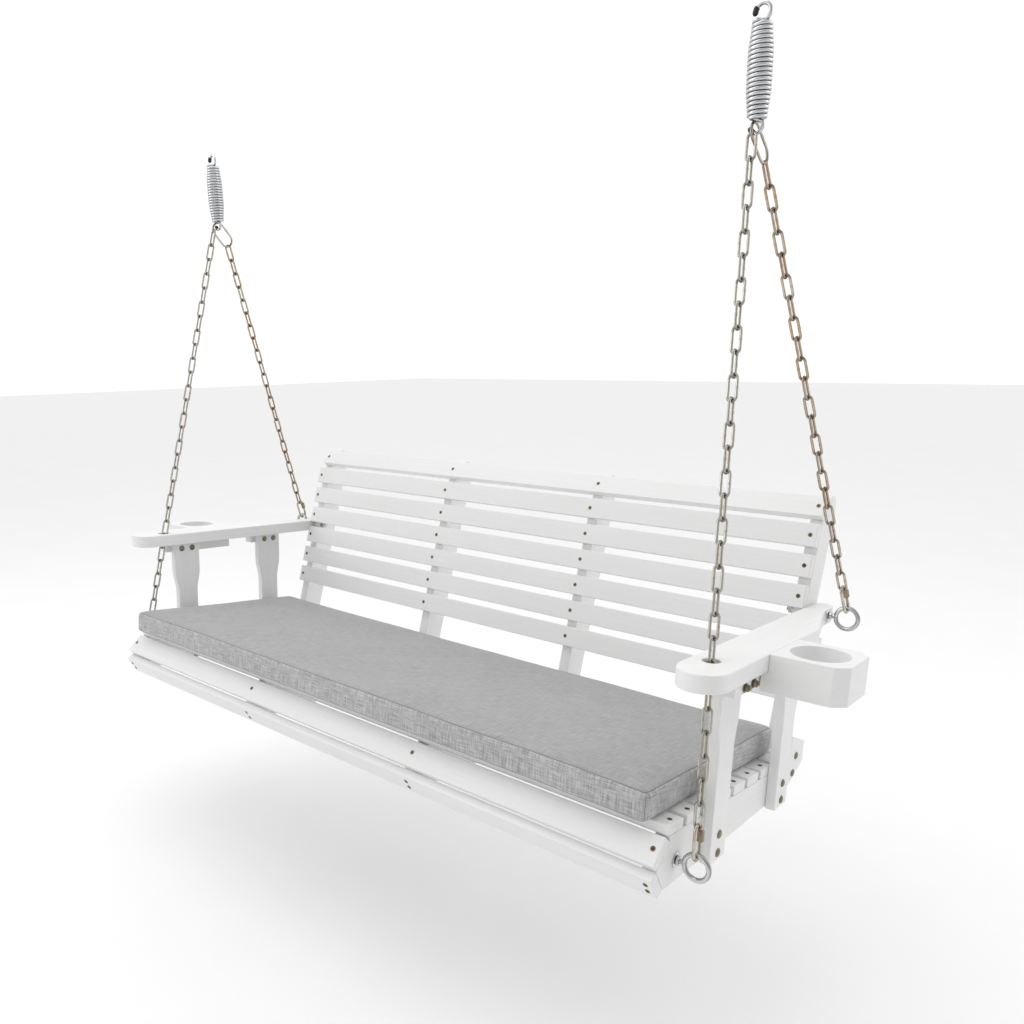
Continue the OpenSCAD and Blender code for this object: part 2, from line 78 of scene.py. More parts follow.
# The bench's own frame has its origin at the screws of the lowest back slat. The bench
# hangs from the hooks, tipped back by the same angle as its cup holes.
HOOK_TO_BENCH = Vector((0, 260 * MM, -908.1 * MM))
MOUNTS = {m["name"]: m for m in frame["record"]["mounts"]}
JOINTS = {j["name"]: j for j in frame["joints"]}
CUP_AXIS = Vector(MOUNTS["cup_right"]["axis"])
TILT = math.atan2(CUP_AXIS.y, CUP_AXIS.z)
HOOK = Vector(JOINTS["swing"]["pos_m"])
BENCH = Matrix.Translation(HOOK) @ Matrix.Rotation(-TILT, 4, "X") @ Matrix.Translation(HOOK_TO_BENCH)
TO_BENCH = BENCH.inverted()


# ---- mesh making ----
class Shape:
    """Points and faces gathered solid by solid into one mesh, with a tone and a value per point that mixes real
    soiling with painted shade.
    """

    def __init__(self):
        self.points, self.faces, self.tones, self.wear_and_shade_values = [], [], [], []

    def add(self, solid, place=Matrix(), tone=0.5, wear_and_shade_values=None):
        points, faces = solid
        first = len(self.points)
        self.points += [place @ Vector(p) for p in points]
        self.faces += [[first + i for i in f] for f in faces]
        self.tones += [tone] * len(points)
        self.wear_and_shade_values += list(wear_and_shade_values) if wear_and_shade_values is not None else [0.0] * len(points)

    def build(self, name, material, crease=math.radians(35)):
        mesh = bpy.data.meshes.new(name)
        mesh.from_pydata(self.points, [], self.faces)
        for label, values in (("tone", self.tones), ("wear_and_shade", self.wear_and_shade_values)):
            mesh.attributes.new(label, "FLOAT", "POINT").data.foreach_set("value", values)
        return finish_mesh(name, mesh, material, crease)


def finish_mesh(name, mesh, material, crease):
    """Turns normals outwards, shades smooth up to the crease angle and links the object."""
    bm = bmesh.new()
    bm.from_mesh(mesh)
    bmesh.ops.recalc_face_normals(bm, faces=bm.faces)
    for face in bm.faces:
        face.smooth = True
    for edge in bm.edges:
        edge.smooth = len(edge.link_faces) < 2 or edge.calc_face_angle(0) < crease
    bm.to_mesh(mesh)
    bm.free()
    mesh.materials.append(material)
    made = bpy.data.objects.new(name, mesh)
    bpy.context.scene.collection.objects.link(made)
    return made


def lathe(profile, sides=32, shape=None, closed=False):
    """A solid of revolution about Z through (radius, height) pairs. shape changes a radius by its angle."""
    points, rings = [], []
    for radius, height in profile:
        turns = [2 * math.pi * i / sides for i in range(sides if radius > 0 else 1)]
        rings.append(range(len(points), len(points) + len(turns)))
        for turn in turns:
            r = shape(radius, turn, height) if shape else radius
            points.append((r * math.cos(turn), r * math.sin(turn), height))
    faces = []
    for low, high in zip(rings, rings[1:] + (rings[:1] if closed else [])):
        for i in range(sides):
            j = (i + 1) % sides
            loop = [low[i % len(low)], low[j % len(low)], high[j % len(high)], high[i % len(high)]]
            faces.append(list(dict.fromkeys(loop)))
    return points, faces


def hexagonal(flats):
    """Trims a lathe radius to a hexagon of that width across its flats."""
    sixth = math.pi / 3
    return lambda r, turn, z: min(r, flats / 2 / math.cos(turn % sixth - sixth / 2))


def threaded(pitch, depth, low, high):
    """Cuts a screw thread into a lathe radius between two heights."""
    def cut(r, turn, z):
        if not low <= z <= high:
            return r
        return r - depth * (0.5 + 0.5 * math.cos(2 * math.pi * z / pitch - turn))
    return cut


def tube(path, radii, sides=14, closed=False):
    """A round tube along path, with one radius per point; its ends are closed unless the path is."""
    path = [Vector(p) for p in path]
    count = len(path)
    tangents = []
    for i in range(count):
        back = path[i - 1] if closed or i else path[0]
        ahead = path[(i + 1) % count] if closed or i < count - 1 else path[-1]
        tangents.append((ahead - back).normalized())
    normal = tangents[0].orthogonal().normalized()
    points = []
    for i in range(count):
        normal = (normal - tangents[i] * normal.dot(tangents[i])).normalized()
        side = tangents[i].cross(normal)
        for k in range(sides):
            turn = 2 * math.pi * k / sides
            points.append(path[i] + (normal * math.cos(turn) + side * math.sin(turn)) * radii[i])
    faces = []
    for i in range(count if closed else count - 1):
        j = (i + 1) % count
        for k in range(sides):
            m = (k + 1) % sides
            faces.append([i * sides + k, i * sides + m, j * sides + m, j * sides + k])
    if not closed:
        faces.append(list(range(sides))[::-1])
        faces.append([(count - 1) * sides + k for k in range(sides)])
    return points, faces


def arc(center, radius, start, end, steps, right=X_AXIS, up=Z_AXIS):
    """Points round an arc in the plane of right and up, angles in degrees."""
    turns = [math.radians(start + (end - start) * i / steps) for i in range(steps + 1)]
    return [center + (right * math.cos(t) + up * math.sin(t)) * radius for t in turns]


def hermite(p0, t0, p1, t1, steps):
    """Points between p0 and p1, without the two ends, leaving along t0 and arriving along t1."""
    found = []
    for i in range(1, steps):
        s = i / steps
        found.append(p0 * (2 * s**3 - 3 * s**2 + 1) + t0 * (s**3 - 2 * s**2 + s)
                     + p1 * (3 * s**2 - 2 * s**3) + t1 * (s**3 - s**2))
    return found


def smooth_step(x):
    x = max(0.0, min(1.0, x))
    return x * x * (3 - 2 * x)


# ---- reading the frame ----
class Solid:
    """One closed solid of a CAD node: its middle, its axes, longest first, and its lengths along them."""

    def __init__(self, points, triangles):
        corners = points[triangles]
        area = np.linalg.norm(np.cross(corners[:, 1] - corners[:, 0], corners[:, 2] - corners[:, 0]), axis=1)
        means = corners.mean(1)
        center = (means * area[:, None]).sum(0) / area.sum()
        means, corners = means - center, corners - center
        spread = np.einsum("n,nki,nkj->ij", area, corners, corners)
        spread += 9 * np.einsum("n,ni,nj->ij", area, means, means)
        axes = np.linalg.eigh(spread)[1][:, ::-1].T
        along = points @ axes.T
        low, high = along.min(0), along.max(0)
        self.axes = [Vector(a) for a in axes]
        self.lengths = high - low
        self.middle = Vector(axes.T @ ((low + high) / 2))
        self.points = points

    def towards_thick_end(self, axis):
        """The axis, signed so that it points at the end where the solid is widest."""
        heights = self.points @ np.array(axis) - self.middle.dot(axis)
        offsets = self.points - np.array(self.middle) - heights[:, None] * np.array(axis)
        widest = heights[np.argmax(np.linalg.norm(offsets, axis=1))]
        return axis if widest > 0 else -axis


def solids(node):
    """The separate solids of a CAD node."""
    bm = bmesh.new()
    bm.from_mesh(frame["nodes"][node].data)
    bmesh.ops.remove_doubles(bm, verts=bm.verts, dist=0.02 * MM)
    bmesh.ops.triangulate(bm, faces=bm.faces)
    bm.verts.index_update()
    points = np.array([v.co for v in bm.verts], float)
    owner = [-1] * len(points)
    groups = 0
    for start in bm.verts:
        if owner[start.index] >= 0:
            continue
        owner[start.index] = groups
        reached = [start]
        for vert in reached:
            for edge in vert.link_edges:
                other = edge.other_vert(vert)
                if owner[other.index] < 0:
                    owner[other.index] = groups
                    reached.append(other)
        groups += 1
    triangles = np.array([[v.index for v in f.verts] for f in bm.faces])
    bm.free()
    owner = np.array(owner)
    found = []
    for g in range(groups):
        members = np.flatnonzero(owner == g)
        renumber = np.zeros(len(points), int)
        renumber[members] = np.arange(len(members))
        found.append(Solid(points[members], renumber[triangles[owner[triangles[:, 0]] == g]]))
    return found


def placed(origin, x_axis, z_axis):
    """The matrix that stands a shape at origin with those X and Z axes."""
    y_axis = z_axis.cross(x_axis).normalized()
    x_axis = y_axis.cross(z_axis).normalized()
    matrix = Matrix((x_axis, y_axis, z_axis.normalized())).transposed().to_4x4()
    matrix.translation = origin
    return matrix


def standing(origin, z_axis):
    return placed(origin, z_axis.orthogonal(), z_axis)


def body_of(node):
    return next(b for b, members in frame["record"]["behaviour"]["bodies"].items() if node in members)


def settle(piece, slot, *nodes):
    """The piece rides where its CAD nodes ride, and stands for them."""
    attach(piece, body_of(nodes[0]))
    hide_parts(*nodes)
    return piece


# ---- materials ----
class Graph:
    """A material's node tree, with short calls for the nodes used here."""

    def __init__(self, name):
        self.material = bpy.data.materials.new(name)
        self.material.use_nodes = True
        self.tree = self.material.node_tree
        self.shader = self.tree.nodes["Principled BSDF"]

    def link(self, source, target):
        self.tree.links.new(source, target)

    def node(self, kind, inputs=(), **settings):
        made = self.tree.nodes.new(kind)
        for key, value in settings.items():
            setattr(made, key, value)
        for key, value in dict(inputs).items():
            self.feed(made.inputs[key], value)
        return made

    def feed(self, socket, value):
        if isinstance(value, bpy.types.NodeSocket):
            self.link(value, socket)
        else:
            socket.default_value = value

    def attribute(self, name):
        return self.node("ShaderNodeAttribute", attribute_name=name)

    def object_point(self):
        return self.node("ShaderNodeTexCoord").outputs["Object"]

    def scaled(self, vector, scale):
        return self.node("ShaderNodeVectorMath", {0: vector, 1: scale}, operation="MULTIPLY").outputs[0]

    def noise(self, vector, scale, detail=3.0, roughness=0.5, distortion=0.0):
        inputs = {"Vector": vector, "Scale": scale, "Detail": detail, "Roughness": roughness,
                  "Distortion": distortion}
        return self.node("ShaderNodeTexNoise", inputs).outputs["Fac"]

    def math(self, operation, a, b=0.0, c=0.0):
        return self.node("ShaderNodeMath", {0: a, 1: b, 2: c}, operation=operation).outputs[0]

    def remap(self, value, low, high, new_low, new_high):
        inputs = {"Value": value, "From Min": low, "From Max": high, "To Min": new_low, "To Max": new_high}
        return self.node("ShaderNodeMapRange", inputs).outputs[0]

    def mix(self, factor, a, b):
        made = self.tree.nodes.new("ShaderNodeMix")
        made.data_type = "RGBA"
        for socket, value in ((made.inputs[0], factor), (made.inputs[6], a), (made.inputs[7], b)):
            self.feed(socket, value)
        return made.outputs[2]

    def bump(self, height, strength, distance):
        inputs = {"Height": height, "Strength": strength, "Distance": distance}
        self.link(self.node("ShaderNodeBump", inputs).outputs[0], self.shader.inputs["Normal"])

    def set(self, **values):
        for key, value in values.items():
            self.feed(self.shader.inputs[key.replace("_", " ")], value)


def grey(value):
    return (value, value, value, 1)


def painted_wood():
    """White paint over pine: brush lines and grain along each board, softly uneven gloss."""
    g = Graph("painted_wood")
    at = g.attribute("grain").outputs["Vector"]
    fibres = g.noise(g.scaled(at, (5, 260, 260)), 1.0, 5, 0.6)
    figure = g.noise(g.scaled(at, (1.1, 26, 26)), 1.0, 4, 0.55, 0.7)
    rings = g.math("PINGPONG", g.math("MULTIPLY", figure, 9.0), 1.0)
    blotches = g.noise(g.scaled(at, (3, 8, 8)), 1.0, 2)
    lines = g.remap(fibres, 0.36, 0.62, 0, 1)
    shade = g.mix(lines, (0.775, 0.775, 0.772, 1), (0.80, 0.80, 0.80, 1))
    shade = g.mix(g.remap(rings, 0.0, 0.3, 0.08, 0.0), shade, (0.69, 0.69, 0.68, 1))
    shade = g.mix(g.remap(blotches, 0.35, 0.7, 0.0, 0.35), shade, (0.765, 0.765, 0.755, 1))
    g.set(Base_Color=shade, Roughness=g.remap(blotches, 0.3, 0.7, 0.38, 0.52))
    height = g.math("ADD", g.math("MULTIPLY", fibres, 0.6), g.math("MULTIPLY", rings, 0.4))
    g.bump(height, 0.18, 0.25 * MM)
    return g.material


def metal(name, clean, tint, dirt_and_shade, roughness):
    """A plated metal whose tint follows the tone of each piece. Its darkest colour comes from fine
    specks and from a per-point value that mixes real soiling with painted shade.

    That value carries painted shade and painted reflections: the dark bands of the rings, links and
    coils, which imitate the reflections of a dark room, the darkened screw recesses, the darkening
    where chain links touch and the darkening between spring coils.
    """
    g = Graph(name)
    at = g.object_point()
    patches = g.noise(at, 160.0, 4, 0.6)
    specks = g.noise(at, 900.0, 3, 0.6)
    tone = g.attribute("tone").outputs["Fac"]
    wear_and_shade = g.attribute("wear_and_shade").outputs["Fac"]
    amount = g.math("ADD", tone, g.remap(patches, 0.3, 0.7, -0.25, 0.25))
    colour = g.mix(g.math("MINIMUM", g.math("MAXIMUM", amount, 0.0), 1.0), (*clean, 1), (*tint, 1))
    spots = g.math("MULTIPLY", g.remap(specks, 0.6, 0.78, 0, 0.35), g.remap(patches, 0.45, 0.7, 0, 1))
    # Real specks plus the per-point value, which holds real soiling and also painted shade and painted reflections
    grime_and_shade = g.math("MINIMUM", g.math("ADD", wear_and_shade, spots), 1.0)
    g.set(Base_Color=g.mix(grime_and_shade, colour, (*dirt_and_shade, 1)), Metallic=1.0,
          Roughness=g.math("ADD", g.remap(patches, 0.3, 0.7, roughness, roughness + 0.14),
                           g.math("MULTIPLY", grime_and_shade, 0.2)))
    g.bump(g.math("ADD", specks, patches), 0.25, 0.12 * MM)
    return g.material


def vinyl():
    """Soft black dipped vinyl with a fine pebble and a few scuffs."""
    g = Graph("black_vinyl")
    at = g.object_point()
    pebble = g.noise(at, 1400.0, 2)
    scuffs = g.noise(g.scaled(at, (200, 200, 900)), 1.0, 4, 0.7)
    g.set(Base_Color=g.mix(g.remap(scuffs, 0.55, 0.75, 0, 0.5), grey(0.012), grey(0.05)),
          Roughness=g.remap(scuffs, 0.4, 0.7, 0.38, 0.6))
    g.bump(pebble, 0.3, 0.15 * MM)
    return g.material


THREAD = 1.25 * MM


def linen():
    """Plain-weave heathered linen: each thread has its own grey, with slubs both ways.

    The side attribute makes the upright faces bolder and lighter than the top, as painted light for how the sides
    are lit.
    """
    g = Graph("grey_linen")
    cloth = g.node("ShaderNodeUVMap", uv_map="cloth").outputs[0]
    split = g.node("ShaderNodeSeparateXYZ", {0: cloth})
    along, across = split.outputs[0], split.outputs[1]
    waves = [g.math("SINE", g.math("MULTIPLY", v, math.pi / THREAD)) for v in (along, across)]
    over = g.math("GREATER_THAN", g.math("MULTIPLY", waves[0], waves[1]), 0.0)
    warp = g.noise(g.scaled(cloth, (1 / (1.6 * THREAD), 30, 1)), 1.0, 3, 0.62)
    weft = g.noise(g.scaled(cloth, (30, 1 / (1.6 * THREAD), 1)), 1.0, 3, 0.62)
    fuzz = g.noise(g.scaled(cloth, (1800, 1800, 1)), 1.0, 3, 0.6)
    clouds = g.noise(g.scaled(cloth, (9, 9, 1)), 1.0, 3)
    picked = g.math("ADD", g.math("MULTIPLY", warp, 0.5), g.math("MULTIPLY", weft, 0.5))
    fine = g.math("ADD", g.math("MULTIPLY", over, g.math("SUBTRACT", warp, weft)), weft)
    mottle = g.math("ADD", g.math("MULTIPLY", picked, 0.62), g.math("MULTIPLY", fine, 0.38))
    mottle = g.math("ADD", mottle, g.remap(fuzz, 0.3, 0.7, -0.05, 0.05))
    mottle = g.math("ADD", mottle, g.remap(clouds, 0.3, 0.7, -0.02, 0.02))
    side = g.attribute("side").outputs["Fac"]
    reach = g.remap(side, 0, 1, 0.23, 0.13)
    spread = g.remap(g.math("DIVIDE", g.math("SUBTRACT", mottle, 0.5), reach), -1, 1, 0, 1)
    top = g.mix(spread, grey(0.21), (0.53, 0.53, 0.535, 1))
    # Painted light: the upright faces get a lighter, bolder grey than the top
    colour = g.mix(side, top, g.mix(spread, grey(0.24), grey(0.63)))
    g.set(Base_Color=colour, Roughness=0.92, Sheen_Weight=0.25, Sheen_Roughness=0.5)
    bulge = [g.math("ABSOLUTE", w) for w in waves]
    height = g.math("ADD", g.math("MULTIPLY", over, g.math("SUBTRACT", bulge[0], bulge[1])), bulge[1])
    height = g.math("ADD", height, g.math("MULTIPLY", mottle, 1.5))
    g.bump(height, 0.6, 0.35 * MM)
    return g.material


def welt_cloth():
    """The linen where it is folded into a welt, coloured darker than the linen as painted shade in the seam; its
    weave follows the surface, not the cloth map.
    """
    g = Graph("linen_welt")
    at = g.object_point()
    slubs = g.noise(g.scaled(at, (120, 900, 900)), 1.0, 4, 0.6)
    # Painted shade: the welt is far darker than the linen, standing for the shade in the seam crease
    g.set(Base_Color=g.mix(g.remap(slubs, 0.35, 0.65, 0, 1), grey(0.11), grey(0.24)), Roughness=0.92)
    g.bump(slubs, 0.5, 0.3 * MM)
    return g.material


def sewing_thread():
    """Light grey spun polyester thread."""
    g = Graph("sewing_thread")
    at = g.object_point()
    twist = g.noise(g.scaled(at, (3000, 1500, 1500)), 1.0, 2)
    g.set(Base_Color=g.mix(twist, grey(0.24), grey(0.38)), Roughness=0.7)
    g.bump(twist, 0.4, 0.1 * MM)
    return g.material


MATERIALS = {
    "painted_wood": painted_wood(),
    "linen": linen(),
    "welt": welt_cloth(),
    "thread": sewing_thread(),
    "black_vinyl": vinyl(),
    "chain_zinc": metal("chain_zinc", (0.62, 0.61, 0.55), (0.50, 0.36, 0.25), (0.045, 0.033, 0.025), 0.17),
    "spring_zinc": metal("spring_zinc", (0.68, 0.69, 0.71), (0.56, 0.56, 0.56), (0.14, 0.135, 0.13), 0.16),
    "nickel": metal("nickel", (0.62, 0.62, 0.63), (0.50, 0.49, 0.49), (0.16, 0.15, 0.14), 0.08),
    "zinc_yellow": metal("zinc_yellow", (0.27, 0.24, 0.17), (0.19, 0.165, 0.11), (0.06, 0.05, 0.035), 0.3),
    "screw_bronze": metal("screw_bronze", (0.30, 0.26, 0.17), (0.22, 0.18, 0.12), (0.05, 0.035, 0.02), 0.34),
    "sleeve_bronze": metal("sleeve_bronze", (0.34, 0.28, 0.19), (0.26, 0.21, 0.14), (0.07, 0.05, 0.035),
                           0.26),
}

# ---- wood ----
GRAIN_AXES = {"X": (0, 1, 2), "Y": (1, 0, 2), "Z": (2, 0, 1)}
# Start of a board's name: the way its grain runs in the bench and the radius of its edges
BOARDS = {
    "rib": ("Y", 1.2 * MM), "seat_slat": ("X", 1.8 * MM), "apron": ("X", 1.8 * MM),
    "back_slat": ("X", 1.8 * MM), "upright": ("Z", 1.5 * MM), "armrest": ("Y", 2.2 * MM),
    "post": ("Z", 1.8 * MM), "cleat": ("Y", 1.2 * MM), "cup_holder": ("X", 1.8 * MM),
}


def board(node, grain, ease):
    """The CAD board with its long edges eased, and a grain direction and offset of its own."""
    bm = bmesh.new()
    bm.from_mesh(frame["nodes"][node].data)
    bmesh.ops.remove_doubles(bm, verts=bm.verts, dist=0.02 * MM)
    bmesh.ops.dissolve_limit(bm, angle_limit=math.radians(0.5), verts=bm.verts, edges=bm.edges)
    sharp = [e for e in bm.edges if len(e.link_faces) == 2 and e.calc_face_angle(0) > math.radians(28)]
    bmesh.ops.bevel(bm, geom=sharp, offset=ease, segments=3, profile=0.5, affect="EDGES", clamp_overlap=True)
    name = f"{node}_board"
    mesh = bpy.data.meshes.new(name)
    bm.to_mesh(mesh)
    bm.free()
    draw = random.Random(node)
    offset = [draw.uniform(-9, 9) for _ in range(3)]
    order = GRAIN_AXES[grain]
    along = []
    for vert in mesh.vertices:
        p = TO_BENCH @ vert.co
        along += [p[order[k]] + offset[k] for k in range(3)]
    mesh.attributes.new("grain", "FLOAT_VECTOR", "POINT").data.foreach_set("vector", along)
    made = finish_mesh(name, mesh, MATERIALS["painted_wood"], math.radians(40))
    weighted = made.modifiers.new("flat_faces", "WEIGHTED_NORMAL")
    weighted.keep_sharp = True
    return settle(made, "painted_wood", node)


def build_boards():
    for node in frame["nodes"]:
        for start, (grain, ease) in BOARDS.items():
            if node.startswith(start):
                board(node, grain, ease)


# ---- fasteners ----
SCREW_RISE = 0.5 * MM
CROSS_CORNERS = 12


def screw_head(radius, rise):
    """The top of a wood screw at height 0 with its cross recess, and the profile of its rim."""
    arm, reach, depth = 0.17 * radius, 0.62 * radius, 0.7 * rise
    cross = []
    for quarter in range(4):
        c, s = [round(f(quarter * math.pi / 2)) for f in (math.cos, math.sin)]
        for x, y in ((reach, -arm), (reach, arm), (arm, arm)):
            cross.append((c * x - s * y, s * x + c * y))
    sides = 24
    edge = 0.9 * radius
    points = [(x, y, 0) for x, y in cross]
    points += [(0.55 * x, 0.55 * y, -depth) for x, y in cross]
    points += [(edge * math.cos(a), edge * math.sin(a), 0)
               for a in (2 * math.pi * i / sides for i in range(sides))]
    n = CROSS_CORNERS
    faces = [[i, (i + 1) % n, n + (i + 1) % n, n + i] for i in range(n)]
    faces.append([n + i for i in range(n)])
    for i in range(sides):
        j = (i + 1) % sides
        near, far = [round(k * n / sides) % n for k in (i, i + 1)]
        loop = [2 * n + i, 2 * n + j, far, near]
        faces.append(list(dict.fromkeys(loop)))
    rim = [(edge, 0), (radius, -0.25 * rise), (radius, -rise), (0.45 * radius, -rise - 0.7 * radius)]
    return (points, faces), rim


def build_screws():
    shape = Shape()
    draw = random.Random("screws")
    for solid in solids("wood_screws"):
        out = solid.towards_thick_end(solid.axes[0])
        length = solid.lengths[0]
        radius = max(solid.lengths[1], solid.lengths[2]) / 2
        tone = draw.random()
        spun = Matrix.Rotation(draw.uniform(0, math.pi), 4, "Z")
        place = standing(solid.middle + out * length / 2, out) @ spun
        head, rim = screw_head(radius, SCREW_RISE)
        # Painted shade: the cross recess gets the darkest value, 0.6 at its rim and 1.0 at its floor; the rest of
        # the head gets a little real soiling
        recess = [0.6] * CROSS_CORNERS + [1.0] * CROSS_CORNERS
        shape.add(head, place, tone, recess + [0.1] * (len(head[0]) - len(recess)))
        shank = rim + [(0.45 * radius, -length + 5 * MM), (0, -length)]
        shape.add(lathe(shank, 24), place, tone)
    settle(shape.build("screw_set", MATERIALS["screw_bronze"]), "screw_bronze", "wood_screws")


def build_carriage_bolts():
    shape = Shape()
    draw = random.Random("bolts")
    head_r, head_h, shank_r = 7.5 * MM, 3.4 * MM, 3.2 * MM
    for solid in solids("carriage_bolts"):
        out = solid.towards_thick_end(X_AXIS.copy())
        length = solid.lengths[0]
        dome = [(0, 0)]
        dome += [(head_r * 0.94 * math.sin(a), -0.86 * head_h * (1 - math.cos(a)))
                 for a in (math.pi / 2 * i / 8 for i in range(1, 9))]
        dome += [(head_r, -0.92 * head_h), (head_r, -head_h), (shank_r, -head_h)]
        pitch = 1.27 * MM
        start = -length + 0.6 * MM
        steps = 54
        run = [(shank_r, start + 18 * MM * (1 - i / steps)) for i in range(steps + 1)]
        shank = dome + run + [(0.75 * shank_r, -length), (0, -length)]
        shaped = threaded(pitch, 0.5 * MM, start, start + 17.5 * MM)
        place = standing(solid.middle + out * length / 2, out)
        shape.add(lathe(shank, 24, shaped), place, draw.random())
    settle(shape.build("carriage_bolt_set", MATERIALS["zinc_yellow"]), "zinc_yellow", "carriage_bolts")


def nut(flats, bore, low, high):
    """A hexagon nut between two heights, its corners chamfered at both ends."""
    corner = flats / 2 / math.cos(math.pi / 6)
    cut = 0.12 * (high - low)
    inside = bore * 0.9
    outline = [(bore, low), (flats * 0.47, low), (corner, low + cut), (corner, high - cut),
               (flats * 0.47, high), (bore, high), (inside, high - 0.6 * MM), (inside, low + 0.6 * MM)]
    return lathe(outline, 48, hexagonal(flats), closed=True)


def washer(outer, bore, low, high):
    """A flat washer between two heights, its outer edges eased."""
    ease = 0.2 * (high - low)
    outline = [(bore, low), (outer - ease, low), (outer, low + ease), (outer, high - ease),
               (outer - ease, high), (bore, high)]
    return lathe(outline, 36, closed=True)


def build_carriage_nuts():
    shape = Shape()
    draw = random.Random("nuts")
    washer_r, washer_t, nut_flats, bore = 8 * MM, 1.4 * MM, 11 * MM, 3.3 * MM
    for solid in solids("carriage_bolt_nuts"):
        foot = solid.towards_thick_end(X_AXIS.copy())
        height = np.ptp(solid.points @ np.array(X_AXIS))
        tone = draw.random()
        turn = Matrix.Rotation(draw.uniform(0, math.pi), 4, "Z")
        place = standing(solid.middle + foot * height / 2, -foot) @ turn
        shape.add(washer(washer_r, bore, 0, washer_t), place, tone)
        shape.add(nut(nut_flats, bore, washer_t, height), place, draw.random())
    settle(shape.build("carriage_nut_set", MATERIALS["zinc_yellow"]), "zinc_yellow", "carriage_bolt_nuts")


# ---- hanging gear ----
# Outer radius of an eye's ring and the radius of its wire
EYE_OUTER, EYE_WIRE = 24 * MM, 4 * MM


def build_eye_bolts():
    for place_name in ("front", "rear"):
        for side, sign in SIDES.items():
            node = f"eye_bolt_{place_name}_{side}"
            low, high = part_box(node)
            out = X_AXIS * sign
            tip = high.x if sign > 0 else low.x
            center = Vector((tip - sign * EYE_OUTER, (low.y + high.y) / 2, (low.z + high.z) / 2))
            length = high.x - low.x - 2 * EYE_OUTER
            up = BENCH.to_3x3() @ Z_AXIS
            ring_r = EYE_OUTER - EYE_WIRE
            shape = Shape()
            circle = arc(center, ring_r, 180, 540, 72, out, up)[:-1]
            ring = tube(circle, [EYE_WIRE] * len(circle), 18, closed=True)
            # Painted reflection: the ring darkens towards its inner and outer edges, like chrome reflecting a dark
            # room
            off_centre = [abs((p - center).length - ring_r) / EYE_WIRE for p in ring[0]]
            shape.add(ring, tone=0.3, wear_and_shade_values=[0.6 * smooth_step(2 * v - 0.9) for v in off_centre])
            neck = EYE_OUTER - 1.5 * EYE_WIRE
            end = neck + length + 1.5 * EYE_WIRE
            thread_low = end - 26 * MM
            thread_run = end - 0.8 * MM - thread_low
            steps = 78
            shank_r = 3.9 * MM
            collar = EYE_OUTER + 4 * MM
            profile = [(0, neck - 1 * MM), (4.4 * MM, neck - 1 * MM), (4.0 * MM, neck + 2 * MM)]
            profile += [(shank_r, collar - 1.5 * MM), (7.2 * MM, collar - 1.2 * MM), (7.5 * MM, collar),
                        (7.5 * MM, collar + 2.6 * MM), (7.0 * MM, collar + 3 * MM),
                        (shank_r, collar + 3.2 * MM)]
            profile += [(shank_r, thread_low + thread_run * i / steps) for i in range(steps + 1)]
            profile += [(3.0 * MM, end), (0, end)]
            cut = threaded(1.25 * MM, 0.6 * MM, thread_low + 0.5 * MM, end - 0.8 * MM)
            shape.add(lathe(profile, 28, cut), standing(center, -out), 0.4)
            settle(shape.build(f"{node}_ring", MATERIALS["nickel"]), "nickel", node)


def build_eye_fittings():
    washers, nuts = Shape(), Shape()
    washer_r, washer_bore, washer_t = 12.5 * MM, 4.2 * MM, 2 * MM
    nut_flats, nut_bore, nut_h = 15 * MM, 4.1 * MM, 8 * MM
    for solid in solids("eye_bolt_washers"):
        place = standing(solid.middle - X_AXIS * (washer_t / 2), X_AXIS)
        washers.add(washer(washer_r, washer_bore, 0, washer_t), place, 0.3)
    for solid in solids("eye_bolt_nuts"):
        place = standing(solid.middle - X_AXIS * (nut_h / 2), X_AXIS)
        nuts.add(nut(nut_flats, nut_bore, 0, nut_h), place, 0.4)
    settle(washers.build("eye_washer_set", MATERIALS["nickel"]), "nickel", "eye_bolt_washers")
    settle(nuts.build("eye_nut_set", MATERIALS["nickel"]), "nickel", "eye_bolt_nuts")


def link_path(length, width, wire):
    """Centreline of a chain link in its XZ plane, from the middle of the +X leg round."""
    r = (width - wire) / 2
    half = (length - width) / 2
    top = arc(Vector((0, 0, half)), r, 0, 180, 12)
    bottom = arc(Vector((0, 0, -half)), r, 180, 360, 12)
    leg = [Vector((r, 0, half * k / 4)) for k in range(-3, 4)]
    other = [Vector((-r, 0, -half * k / 4)) for k in range(-3, 4)]
    return leg + top + other + bottom


